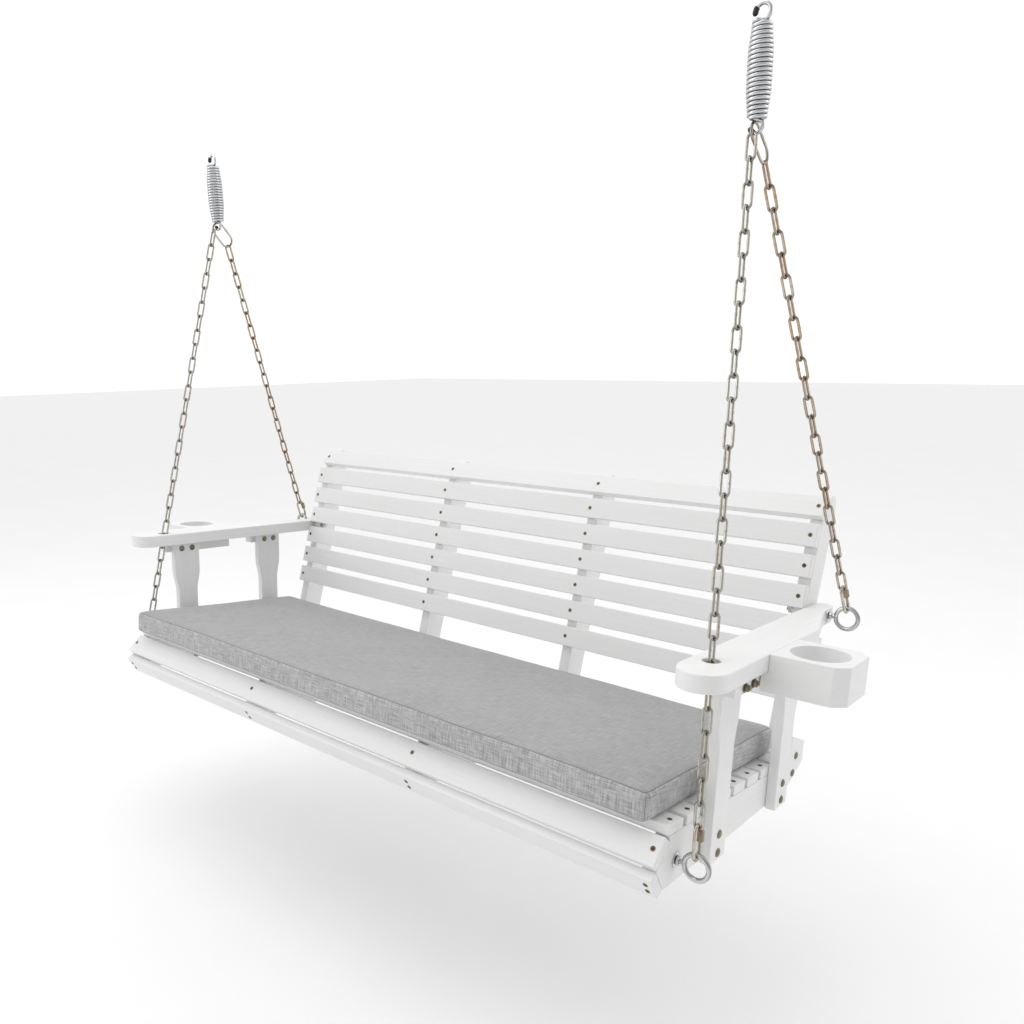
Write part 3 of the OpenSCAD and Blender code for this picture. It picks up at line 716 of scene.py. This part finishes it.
def build_chain(side):
    """Welded links, with painted shade where they touch their neighbours and painted reflections along their
    sides, browner on the rear run.
    """
    node = f"chain_{side}"
    draw = random.Random(node)
    links = solids(node)
    wire = min(s.lengths[2] for s in links)
    apex_y = max(links, key=lambda s: s.middle.z).middle.y
    shape = Shape()
    for solid in links:
        length, width = solid.lengths[0], solid.lengths[1]
        path = link_path(length, width, wire)
        weld = (width - wire) / 2
        radii, wear_and_shade_values = [], []
        for p in path:
            near = math.exp(-((p.z / (1.1 * MM)) ** 2)) if p.x > 0.9 * weld else 0.0
            radii.append(wire / 2 * (1 + 0.13 * near))
            # Painted shade: darker towards the ends of each link, where it touches its neighbours
            contact_shade = smooth_step((abs(p.z) - length / 2 + 0.62 * width) / (0.34 * width))
            wear_and_shade_values.append(0.8 * contact_shade * (1 - 1.6 * abs(p.x) / width) + 0.2 * near)
        rear = solid.middle.y > apex_y + 4 * MM
        tone = draw.uniform(0.45, 1.0) if rear else draw.uniform(-0.1, 0.3)
        flip = draw.choice((-1, 1))
        place = placed(solid.middle, solid.axes[1] * flip, solid.axes[0])
        sides = 14
        link = tube(path, radii, sides, closed=True)
        # Painted reflection: darker along the link's inner and outer edges, like metal reflecting a dark room
        flank_reflection = [0.45 * smooth_step(1.1 - 2.4 * abs(p.y) / wire) for p in link[0]]
        shape.add(link, place, tone, np.maximum(np.repeat(wear_and_shade_values, sides), flank_reflection))
    settle(shape.build(f"{node}_links", MATERIALS["chain_zinc"]), "chain_zinc", node)


def build_quick_links():
    shape = Shape()
    links = solids("quick_links")
    for place_name in ("front", "rear"):
        for side in SIDES:
            node = f"link_sleeve_{place_name}_{side}"
            sleeve = solids(node)[0]
            link = min(links, key=lambda s: (s.middle - sleeve.middle).length)
            apart = sleeve.middle - link.middle
            up = link.axes[0] if apart.dot(link.axes[0]) > 0 else -link.axes[0]
            right = (apart - up * apart.dot(up)).normalized()
            length, width, wire = link.lengths
            r, half = (width - wire) / 2, (length - width) / 2
            low = apart.dot(up) - sleeve.lengths[0] / 2
            high = low + sleeve.lengths[0]
            gap_low, gap_high = low + 0.34 * (high - low), low + 0.8 * (high - low)
            steps = 24
            path = [Vector((r, 0, gap_high)), Vector((r, 0, (gap_high + half) / 2))]
            path += arc(Vector((0, 0, half)), r, 0, 180, 14) + [Vector((-r, 0, 0))]
            path += arc(Vector((0, 0, -half)), r, 180, 360, 14)
            run = [Vector((r, 0, -half + (gap_low + half) * i / steps)) for i in range(1, steps + 1)]
            radii = [wire / 2 * 0.86] * 2 + [wire / 2] * (len(path) - 2)
            radii += [wire / 2 * (1 if i < 3 else 0.9 if i % 2 else 0.8) for i in range(steps)]
            # Darker round both bends and along the threaded end
            wear_and_shade_values = [0.3 * (abs(p.z) > half + 0.5 * r) for p in path] + [0.25] * steps
            place = placed(link.middle, right, up)
            shape.add(tube(path + run, radii, 16), place, 0.35, np.repeat(wear_and_shade_values, 16))
            build_sleeve(node, placed(link.middle + right * r, right, up), low, high, wire)
    settle(shape.build("quick_link_set", MATERIALS["chain_zinc"]), "chain_zinc", "quick_links")


def build_sleeve(node, place, low, high, wire):
    flats = 10 * MM
    corner = flats / 2 / math.cos(math.pi / 6)
    bore = wire / 2 + 0.08 * MM
    ease = 1.1 * MM
    outline = [(bore, low), (0.78 * corner, low), (corner, low + ease), (corner, high - ease),
               (0.78 * corner, high), (bore, high)]
    shape = Shape()
    shape.add(lathe(outline, 48, hexagonal(flats), closed=True), place, 0.5)
    settle(shape.build(f"{node}_nut", MATERIALS["sleeve_bronze"]), "sleeve_bronze", node)


# Radii of the spring's wire, hooks and coil, and the heights between which it is coiled
SPRING_WIRE = 3 * MM
UPPER_HOOK_R, LOWER_HOOK_R = 11.5 * MM, 9.5 * MM
COIL_TOP, COIL_FOOT = -20.5 * MM, -145.5 * MM
COIL_END_R, COIL_MID_R = 12 * MM, 15.65 * MM
COIL_TURNS = 21
LOWER_HOOK_STEPS = 28
UPPER_CENTER = Vector((0, 0, SPRING_WIRE - UPPER_HOOK_R))
LOWER_CENTER = Vector((0, 0, HOOK.z + LOWER_HOOK_R))


def coil_point(s):
    """A point of the barrel coil, s from 0 at its foot to 1 at its top."""
    span = COIL_TOP - COIL_FOOT
    taper = min(s, 1 - s) * span / (46 * MM)
    radius = COIL_END_R + (COIL_MID_R - COIL_END_R) * smooth_step(taper + 0.08)
    turn = 2 * math.pi * COIL_TURNS * s + math.radians(250)
    return Vector((radius * math.cos(turn), radius * math.sin(turn), COIL_FOOT + span * s))


def spring_path():
    """The wire from the tip of the lower hook, through the coil, to the tip of the upper hook."""
    path = arc(LOWER_CENTER, LOWER_HOOK_R, -175, 20, LOWER_HOOK_STEPS)
    steps = COIL_TURNS * 36
    coil = [coil_point(i / steps) for i in range(steps + 1)]
    leave = (path[-1] - path[-2]).normalized() * 16 * MM
    enter = (coil[1] - coil[0]).normalized() * 16 * MM
    path += hermite(path[-1], leave, coil[0], enter, 12) + coil
    hook = arc(UPPER_CENTER, UPPER_HOOK_R, -60, 190, 34)
    leave = (coil[-1] - coil[-2]).normalized() * 12 * MM
    enter = (hook[1] - hook[0]).normalized() * 16 * MM
    return path + hermite(coil[-1], leave, hook[0], enter, 10) + hook


def build_springs():
    path = spring_path()
    upper_hook_start = len(path) - 40
    for side in SIDES:
        shift = Matrix.Translation(X_AXIS * MOUNTS[f"hang_{side}"]["pos_m"][0])
        shape = Shape()
        radii = [SPRING_WIRE] * len(path)
        sides = 12
        wear_and_shade_values = [0.0 if LOWER_HOOK_STEPS < i < upper_hook_start else 0.12 for i in range(len(path))]
        wire = tube(path, radii, sides)
        # Painted shade: the wire darkens on its upper and lower sides, where the coils face each other; the hooks
        # carry a little real soiling
        coil_gap_shade = [smooth_step(1.7 * abs(p.z - path[i // sides].z) / SPRING_WIRE - 0.75)
                for i, p in enumerate(wire[0])]
        shape.add(wire, shift, 0.25, np.maximum(np.repeat(wear_and_shade_values, sides), 0.7 * np.array(coil_gap_shade)))
        spring = shape.build(f"spring_wire_{side}", MATERIALS["spring_zinc"])
        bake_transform(spring)
        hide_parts(f"spring_{side}", "spring_lower_hooks")


def build_caps():
    """Dipped caps on the hook tips, rounded at the end and thin at the lip."""
    length = 12 * MM
    for level, center, r, tip, turn in (("upper", UPPER_CENTER, UPPER_HOOK_R, 196, 1),
                                        ("lower", LOWER_CENTER, LOWER_HOOK_R, -181, -1)):
        sweep = math.degrees(length / r)
        steps = 16
        path = arc(center, r, tip, tip - turn * sweep, steps)
        full = 4.2 * MM
        radii = []
        for i in range(steps + 1):
            s = i / steps
            rounded = math.sqrt(max(0.0, 1 - (1 - min(1, s / 0.3)) ** 2))
            lip = 1 - 0.16 * smooth_step((s - 0.85) / 0.15)
            radii.append(full * max(0.25, rounded) * lip)
        shape = Shape()
        for side in SIDES:
            shift = Matrix.Translation(X_AXIS * MOUNTS[f"hang_{side}"]["pos_m"][0])
            shape.add(tube(path, radii, 18), shift)
        caps = shape.build(f"hook_cap_set_{level}", MATERIALS["black_vinyl"])
        settle(caps, "black_vinyl", f"hook_caps_{level}")


# ---- cushion ----
SEAT_FALL = math.radians(3.6)
CUSHION = Vector((1490 * MM, 480 * MM, 52 * MM))
CUSHION_FRONT = Vector((0, -516 * MM, -84.93 * MM))
SEAM_DEPTH, SEAM_WIDTH = 1.0 * MM, 1.3 * MM
STITCH_PITCH, STITCH_DROP = 3.4 * MM, 4.5 * MM
CLOTH_FRAMES = 20


def spaced(length, pitch):
    """Grid lines from 0 to length: close together at both ends, then about a pitch apart."""
    edge = [0, 2.5 * MM, 5.5 * MM, 9 * MM, 13 * MM]
    count = round((length - 2 * edge[-1]) / pitch)
    middle = [edge[-1] + (length - 2 * edge[-1]) * i / count for i in range(1, count)]
    return edge + middle + [length - e for e in reversed(edge)]


def cushion_grid(size, pitch):
    """A closed box of quads with a cloth map in metres; returns the mesh."""
    bm = bmesh.new()
    cloth = bm.loops.layers.uv.new("cloth")
    low = [0, 2 * MM, 5 * MM, 9 * MM, 16 * MM]
    upright = low + [size.z / 2] + [size.z - z for z in low[::-1]]
    lines = [spaced(size.x, pitch), spaced(size.y, pitch), upright]
    panels = ((0, 1, 2, 0.0), (0, 1, 2, size.z), (0, 2, 1, 0.0), (0, 2, 1, size.y), (1, 2, 0, 0.0),
              (1, 2, 0, size.x))
    for number, (u, v, w, level) in enumerate(panels):
        grid = {}
        for i, a in enumerate(lines[u]):
            for j, b in enumerate(lines[v]):
                p = [0.0, 0.0, 0.0]
                p[u], p[v], p[w] = a, b, level
                grid[i, j] = bm.verts.new(p)
        for i in range(len(lines[u]) - 1):
            for j in range(len(lines[v]) - 1):
                cells = ((i, j), (i + 1, j), (i + 1, j + 1), (i, j + 1))
                face = bm.faces.new([grid[c] for c in cells])
                for loop, (a, b) in zip(face.loops, cells):
                    loop[cloth].uv = (lines[u][a] + 3.1 * number, lines[v][b] + 1.7 * number)
    bmesh.ops.remove_doubles(bm, verts=bm.verts, dist=0.1 * MM)
    bmesh.ops.recalc_face_normals(bm, faces=bm.faces)
    mesh = bpy.data.meshes.new("seat_cushion_linen")
    bm.to_mesh(mesh)
    bm.free()
    return mesh


def round_off(mesh, size, radii):
    """Rounds the edges and corners of the box, by a radius along each axis."""
    for vert in mesh.vertices:
        core = [min(max(vert.co[k], radii[k]), size[k] - radii[k]) for k in range(3)]
        out = Vector([(vert.co[k] - core[k]) / radii[k] for k in range(3)])
        if out.length > 1:
            out.normalize()
            vert.co = [core[k] + out[k] * radii[k] for k in range(3)]


def inflate(obj, cap):
    """Blows the cover out against its own cloth, with no point moving further than cap."""
    start = np.array([v.co for v in obj.data.vertices])
    cloth = obj.modifiers.new("cloth", "CLOTH")
    settings = cloth.settings
    settings.quality = 5
    settings.mass = 0.3
    settings.use_pressure = True
    settings.uniform_pressure_force = 4.0
    settings.tension_stiffness = 18
    settings.compression_stiffness = 18
    settings.shear_stiffness = 8
    settings.bending_stiffness = 2.5
    settings.effector_weights.gravity = 0
    cloth.point_cache.frame_start, cloth.point_cache.frame_end = 1, CLOTH_FRAMES
    for step in range(1, CLOTH_FRAMES + 1):
        bpy.context.scene.frame_set(step)
    shown = obj.evaluated_get(bpy.context.evaluated_depsgraph_get())
    moved = np.array([v.co for v in shown.data.vertices])
    obj.modifiers.remove(cloth)
    shift = moved - start
    far = np.linalg.norm(shift, axis=1)
    limit = cap * np.tanh(far / cap) / np.maximum(far, 1e-9)
    obj.data.vertices.foreach_set("co", (start + shift * limit[:, None]).ravel())
    bpy.context.scene.frame_set(1)
    obj.data.update()


def shape_cushion(obj, inner, size):
    """Flattens the sitting face, softens the corners and puckers the cloth beside its seams."""
    margin = (size - inner) / 2
    for vert in obj.data.vertices:
        p = vert.co
        p.z = max(p.z, 0.0)
        depth_x = max(0.0, min(p.x, inner.x - p.x))
        depth_y = max(0.0, min(p.y, inner.y - p.y))
        seam = min(depth_x, depth_y)
        if p.z > 0.6 * inner.z:
            along = p.x if depth_y < depth_x else p.y
            pucker = noise.noise(Vector((along * 55, seam * 12, 0.3)))
            p.z += 0.8 * MM * pucker * math.exp(-seam / (16 * MM))
            p.z += 1.4 * MM * noise.noise(Vector((p.x * 5, p.y * 7, 4.0)))
        wave = noise.noise(Vector((p.x * 9, p.y * 9, p.z * 22)))
        outward = Vector((p.x - inner.x / 2, p.y - inner.y / 2, 0)).normalized()
        p += outward * 0.9 * MM * wave
        p.x += margin.x
        p.y += margin.y
    obj.data.update()


def sink_seams(mesh, loops, size):
    """Draws the cloth in along its seams, towards the foam."""
    for loop, _ in loops:
        for i in loop:
            p = mesh.vertices[i].co
            foam = Vector((min(max(p.x, size.z), size.x - size.z),
                           min(max(p.y, size.z), size.y - size.z), size.z / 2))
            p += (foam - p).normalized() * SEAM_DEPTH


def edge_loops(mesh, size):
    """Ordered point indices of the top and bottom edges and of the four upright corners, before inflating."""
    snap = 0.05 * MM
    points = [tuple(round(c / snap) for c in v.co) for v in mesh.vertices]
    top = tuple(round(c / snap) for c in size)
    loops = []
    for level in (top[2], 0):
        ring = [i for i, p in enumerate(points)
                if p[2] == level and (p[0] in (0, top[0]) or p[1] in (0, top[1]))]
        ring.sort(key=lambda i: math.atan2(points[i][1] / top[1] - 0.5, points[i][0] / top[0] - 0.5))
        loops.append((ring, True))
    for x in (0, top[0]):
        for y in (0, top[1]):
            post = [i for i, p in enumerate(points) if p[0] == x and p[1] == y]
            loops.append((sorted(post, key=lambda i: points[i][2]), False))
    return loops


def build_cushion():
    """A foam box cushion in linen, with drawn-in seams along its edges and upright corners."""
    ease = 2.5 * MM
    inner = CUSHION - Vector((2 * ease, 2 * ease, 1.5 * MM))
    mesh = cushion_grid(inner, 11 * MM)
    loops = edge_loops(mesh, inner)
    # Marks the upright faces, which the linen paints lighter and bolder as painted light
    sides = [float(0.5 * MM < v.co.z < inner.z - 0.5 * MM) for v in mesh.vertices]
    mesh.attributes.new("side", "FLOAT", "POINT").data.foreach_set("value", sides)
    round_off(mesh, inner, (15 * MM, 12 * MM, 9 * MM))
    made = finish_mesh("seat_cushion_linen", mesh, MATERIALS["linen"], math.radians(180))
    inflate(made, 7 * MM)
    shape_cushion(made, inner, CUSHION)
    sink_seams(mesh, loops, CUSHION)
    turn = Matrix.Rotation(-SEAT_FALL, 4, "X")
    place = BENCH @ Matrix.Translation(CUSHION_FRONT) @ turn @ Matrix.Translation((-CUSHION.x / 2, 0, 0))
    made.data.transform(place)
    seams = Shape()
    for loop, closed in loops:
        line = [made.data.vertices[i].co.copy() for i in loop]
        line = resample(line, 5 * MM, closed)
        seams.add(tube(line, [SEAM_WIDTH / 2] * len(line), 8, closed))
    middle = place @ (CUSHION / 2)
    subdivide = made.modifiers.new("smooth", "SUBSURF")
    subdivide.levels = subdivide.render_levels = 1
    settle(made, "linen", "seat_cushion")
    build_seams(seams, loops, made, middle)


def resample(line, pitch, closed):
    """Points along line about one pitch apart."""
    line = line + line[:1] if closed else line
    lengths = np.cumsum([0] + [(b - a).length for a, b in zip(line, line[1:])])
    count = max(2, round(lengths[-1] / pitch))
    at = np.linspace(0, lengths[-1], count + 1)[: count if closed else count + 1]
    columns = [np.interp(at, lengths, [p[k] for p in line]) for k in range(3)]
    return [Vector(p) for p in zip(*columns)]


def build_seams(seams, loops, cushion, middle):
    """The welts along all seams, and a row of stitches round the cushion below the top one."""
    welt = seams.build("seat_cushion_welt", MATERIALS["welt"])
    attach(welt, "bench")
    stitches = Shape()
    draw = random.Random("stitches")
    loop, closed = loops[0]
    line = resample([cushion.data.vertices[i].co.copy() for i in loop], STITCH_PITCH, closed)
    drop = BENCH.to_3x3() @ Vector((0, 0, -STITCH_DROP))
    for a, b in zip(line, line[1:]):
        inward = middle - a
        inward.z = 0
        inward.normalize()
        start = a + drop + inward * 0.1 * MM
        end = start + (b - a) * draw.uniform(0.62, 0.7)
        bow = -inward * 0.25 * MM
        path = [start, start.lerp(end, 0.25) + bow, start.lerp(end, 0.75) + bow, end]
        stitches.add(tube(path, [0.2 * MM, 0.34 * MM, 0.34 * MM, 0.2 * MM], 6))
    thread = stitches.build("seat_cushion_stitches", MATERIALS["thread"])
    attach(thread, "bench")


# ---- stage ----
FLOOR_Z = cad_box[0].z - 0.36
CAMERA_AT = Vector((1292.4 * MM, -1533.4 * MM, 510 * MM))
# The studio is darkest behind the camera, a little above it
DARK_SIDE = (0.61, -0.74, 0.28)
YAW, PITCH, ROLL = (math.radians(a) for a in (39.528, 11.839, 1.923))
# Wider than the photo's own 36.6 mm, so that the springs are in the frame
LENS, SENSOR = 30, 36
SHIFT_X, SHIFT_Y = 0.0124, 0.068
# Name, place, diameter and power of each lamp; all point at the middle of the swing
LAMPS = (
    ("overhead", (-0.6, -0.4, 2.2), 3.2, 25),
    ("key", (-2.8, -3.0, 0.9), 2.4, 24),
    ("rim", (2.6, 1.8, 0.6), 2.0, 8),
)
LAMP_TARGET = Vector((0, 0, -1.0))


def build_floor():
    """A wide pale floor, finely mottled."""
    g = Graph("floor")
    at = g.object_point()
    mottle = g.noise(at, 3.0, 4)
    g.set(Base_Color=g.mix(mottle, grey(0.90), grey(0.94)), Roughness=g.remap(mottle, 0.3, 0.7, 0.75, 0.9))
    half = 30
    points = [(-half, -half, FLOOR_Z), (half, -half, FLOOR_Z), (half, half, FLOOR_Z), (-half, half, FLOOR_Z)]
    shape = Shape()
    shape.add((points, [[0, 1, 2, 3]]))
    shape.build("floor", g.material)


def build_camera():
    """The camera stands where the bench is seen from the front right, a little above the arms."""
    ahead = Vector((-math.sin(YAW) * math.cos(PITCH), math.cos(YAW) * math.cos(PITCH), -math.sin(PITCH)))
    right = Vector((math.cos(YAW), math.sin(YAW), 0))
    up = right.cross(ahead)
    turned_right = right * math.cos(ROLL) + up * math.sin(ROLL)
    turned_up = up * math.cos(ROLL) - right * math.sin(ROLL)
    pose = Matrix((turned_right, turned_up, -ahead)).transposed().to_4x4()
    pose.translation = CAMERA_AT
    data = bpy.data.cameras.new("camera")
    data.lens = LENS
    data.sensor_width = SENSOR
    data.shift_x = SHIFT_X
    data.shift_y = SHIFT_Y
    camera = bpy.data.objects.new("camera", data)
    bpy.context.scene.collection.objects.link(camera)
    camera.matrix_world = BENCH @ pose
    bpy.context.scene.camera = camera


def build_lights():
    """A white studio that darkens towards one side, and three soft lamps."""
    scene = bpy.context.scene
    world = bpy.data.worlds.new("studio")
    scene.world = world
    world.use_nodes = True
    tree = world.node_tree
    direction = tree.nodes.new("ShaderNodeTexCoord").outputs["Generated"]
    towards = tree.nodes.new("ShaderNodeVectorMath")
    towards.operation = "DOT_PRODUCT"
    towards.inputs[1].default_value = DARK_SIDE
    tree.links.new(direction, towards.inputs[0])
    fade = tree.nodes.new("ShaderNodeMapRange")
    for label, value in (("From Min", 0.35), ("From Max", 0.95), ("To Min", 1.06), ("To Max", 0.5)):
        fade.inputs[label].default_value = value
    fade.interpolation_type = "SMOOTHSTEP"
    tree.links.new(towards.outputs["Value"], fade.inputs["Value"])
    tree.links.new(fade.outputs[0], tree.nodes["Background"].inputs["Color"])
    for name, place, size, power in LAMPS:
        light = bpy.data.lights.new(name, "AREA")
        light.shape = "DISK"
        light.size = size
        light.energy = power
        lamp = bpy.data.objects.new(name, light)
        scene.collection.objects.link(lamp)
        lamp.location = place
        lamp.rotation_mode = "QUATERNION"
        lamp.rotation_quaternion = (LAMP_TARGET - lamp.location).to_track_quat("-Z", "Y")
    scene.view_settings.view_transform = "Standard"


build_camera()
build_lights()
build_floor()
build_boards()
build_screws()
build_carriage_bolts()
build_carriage_nuts()
build_eye_bolts()
build_eye_fittings()
for chain_side in SIDES:
    build_chain(chain_side)
build_quick_links()
build_springs()
build_caps()
build_cushion()
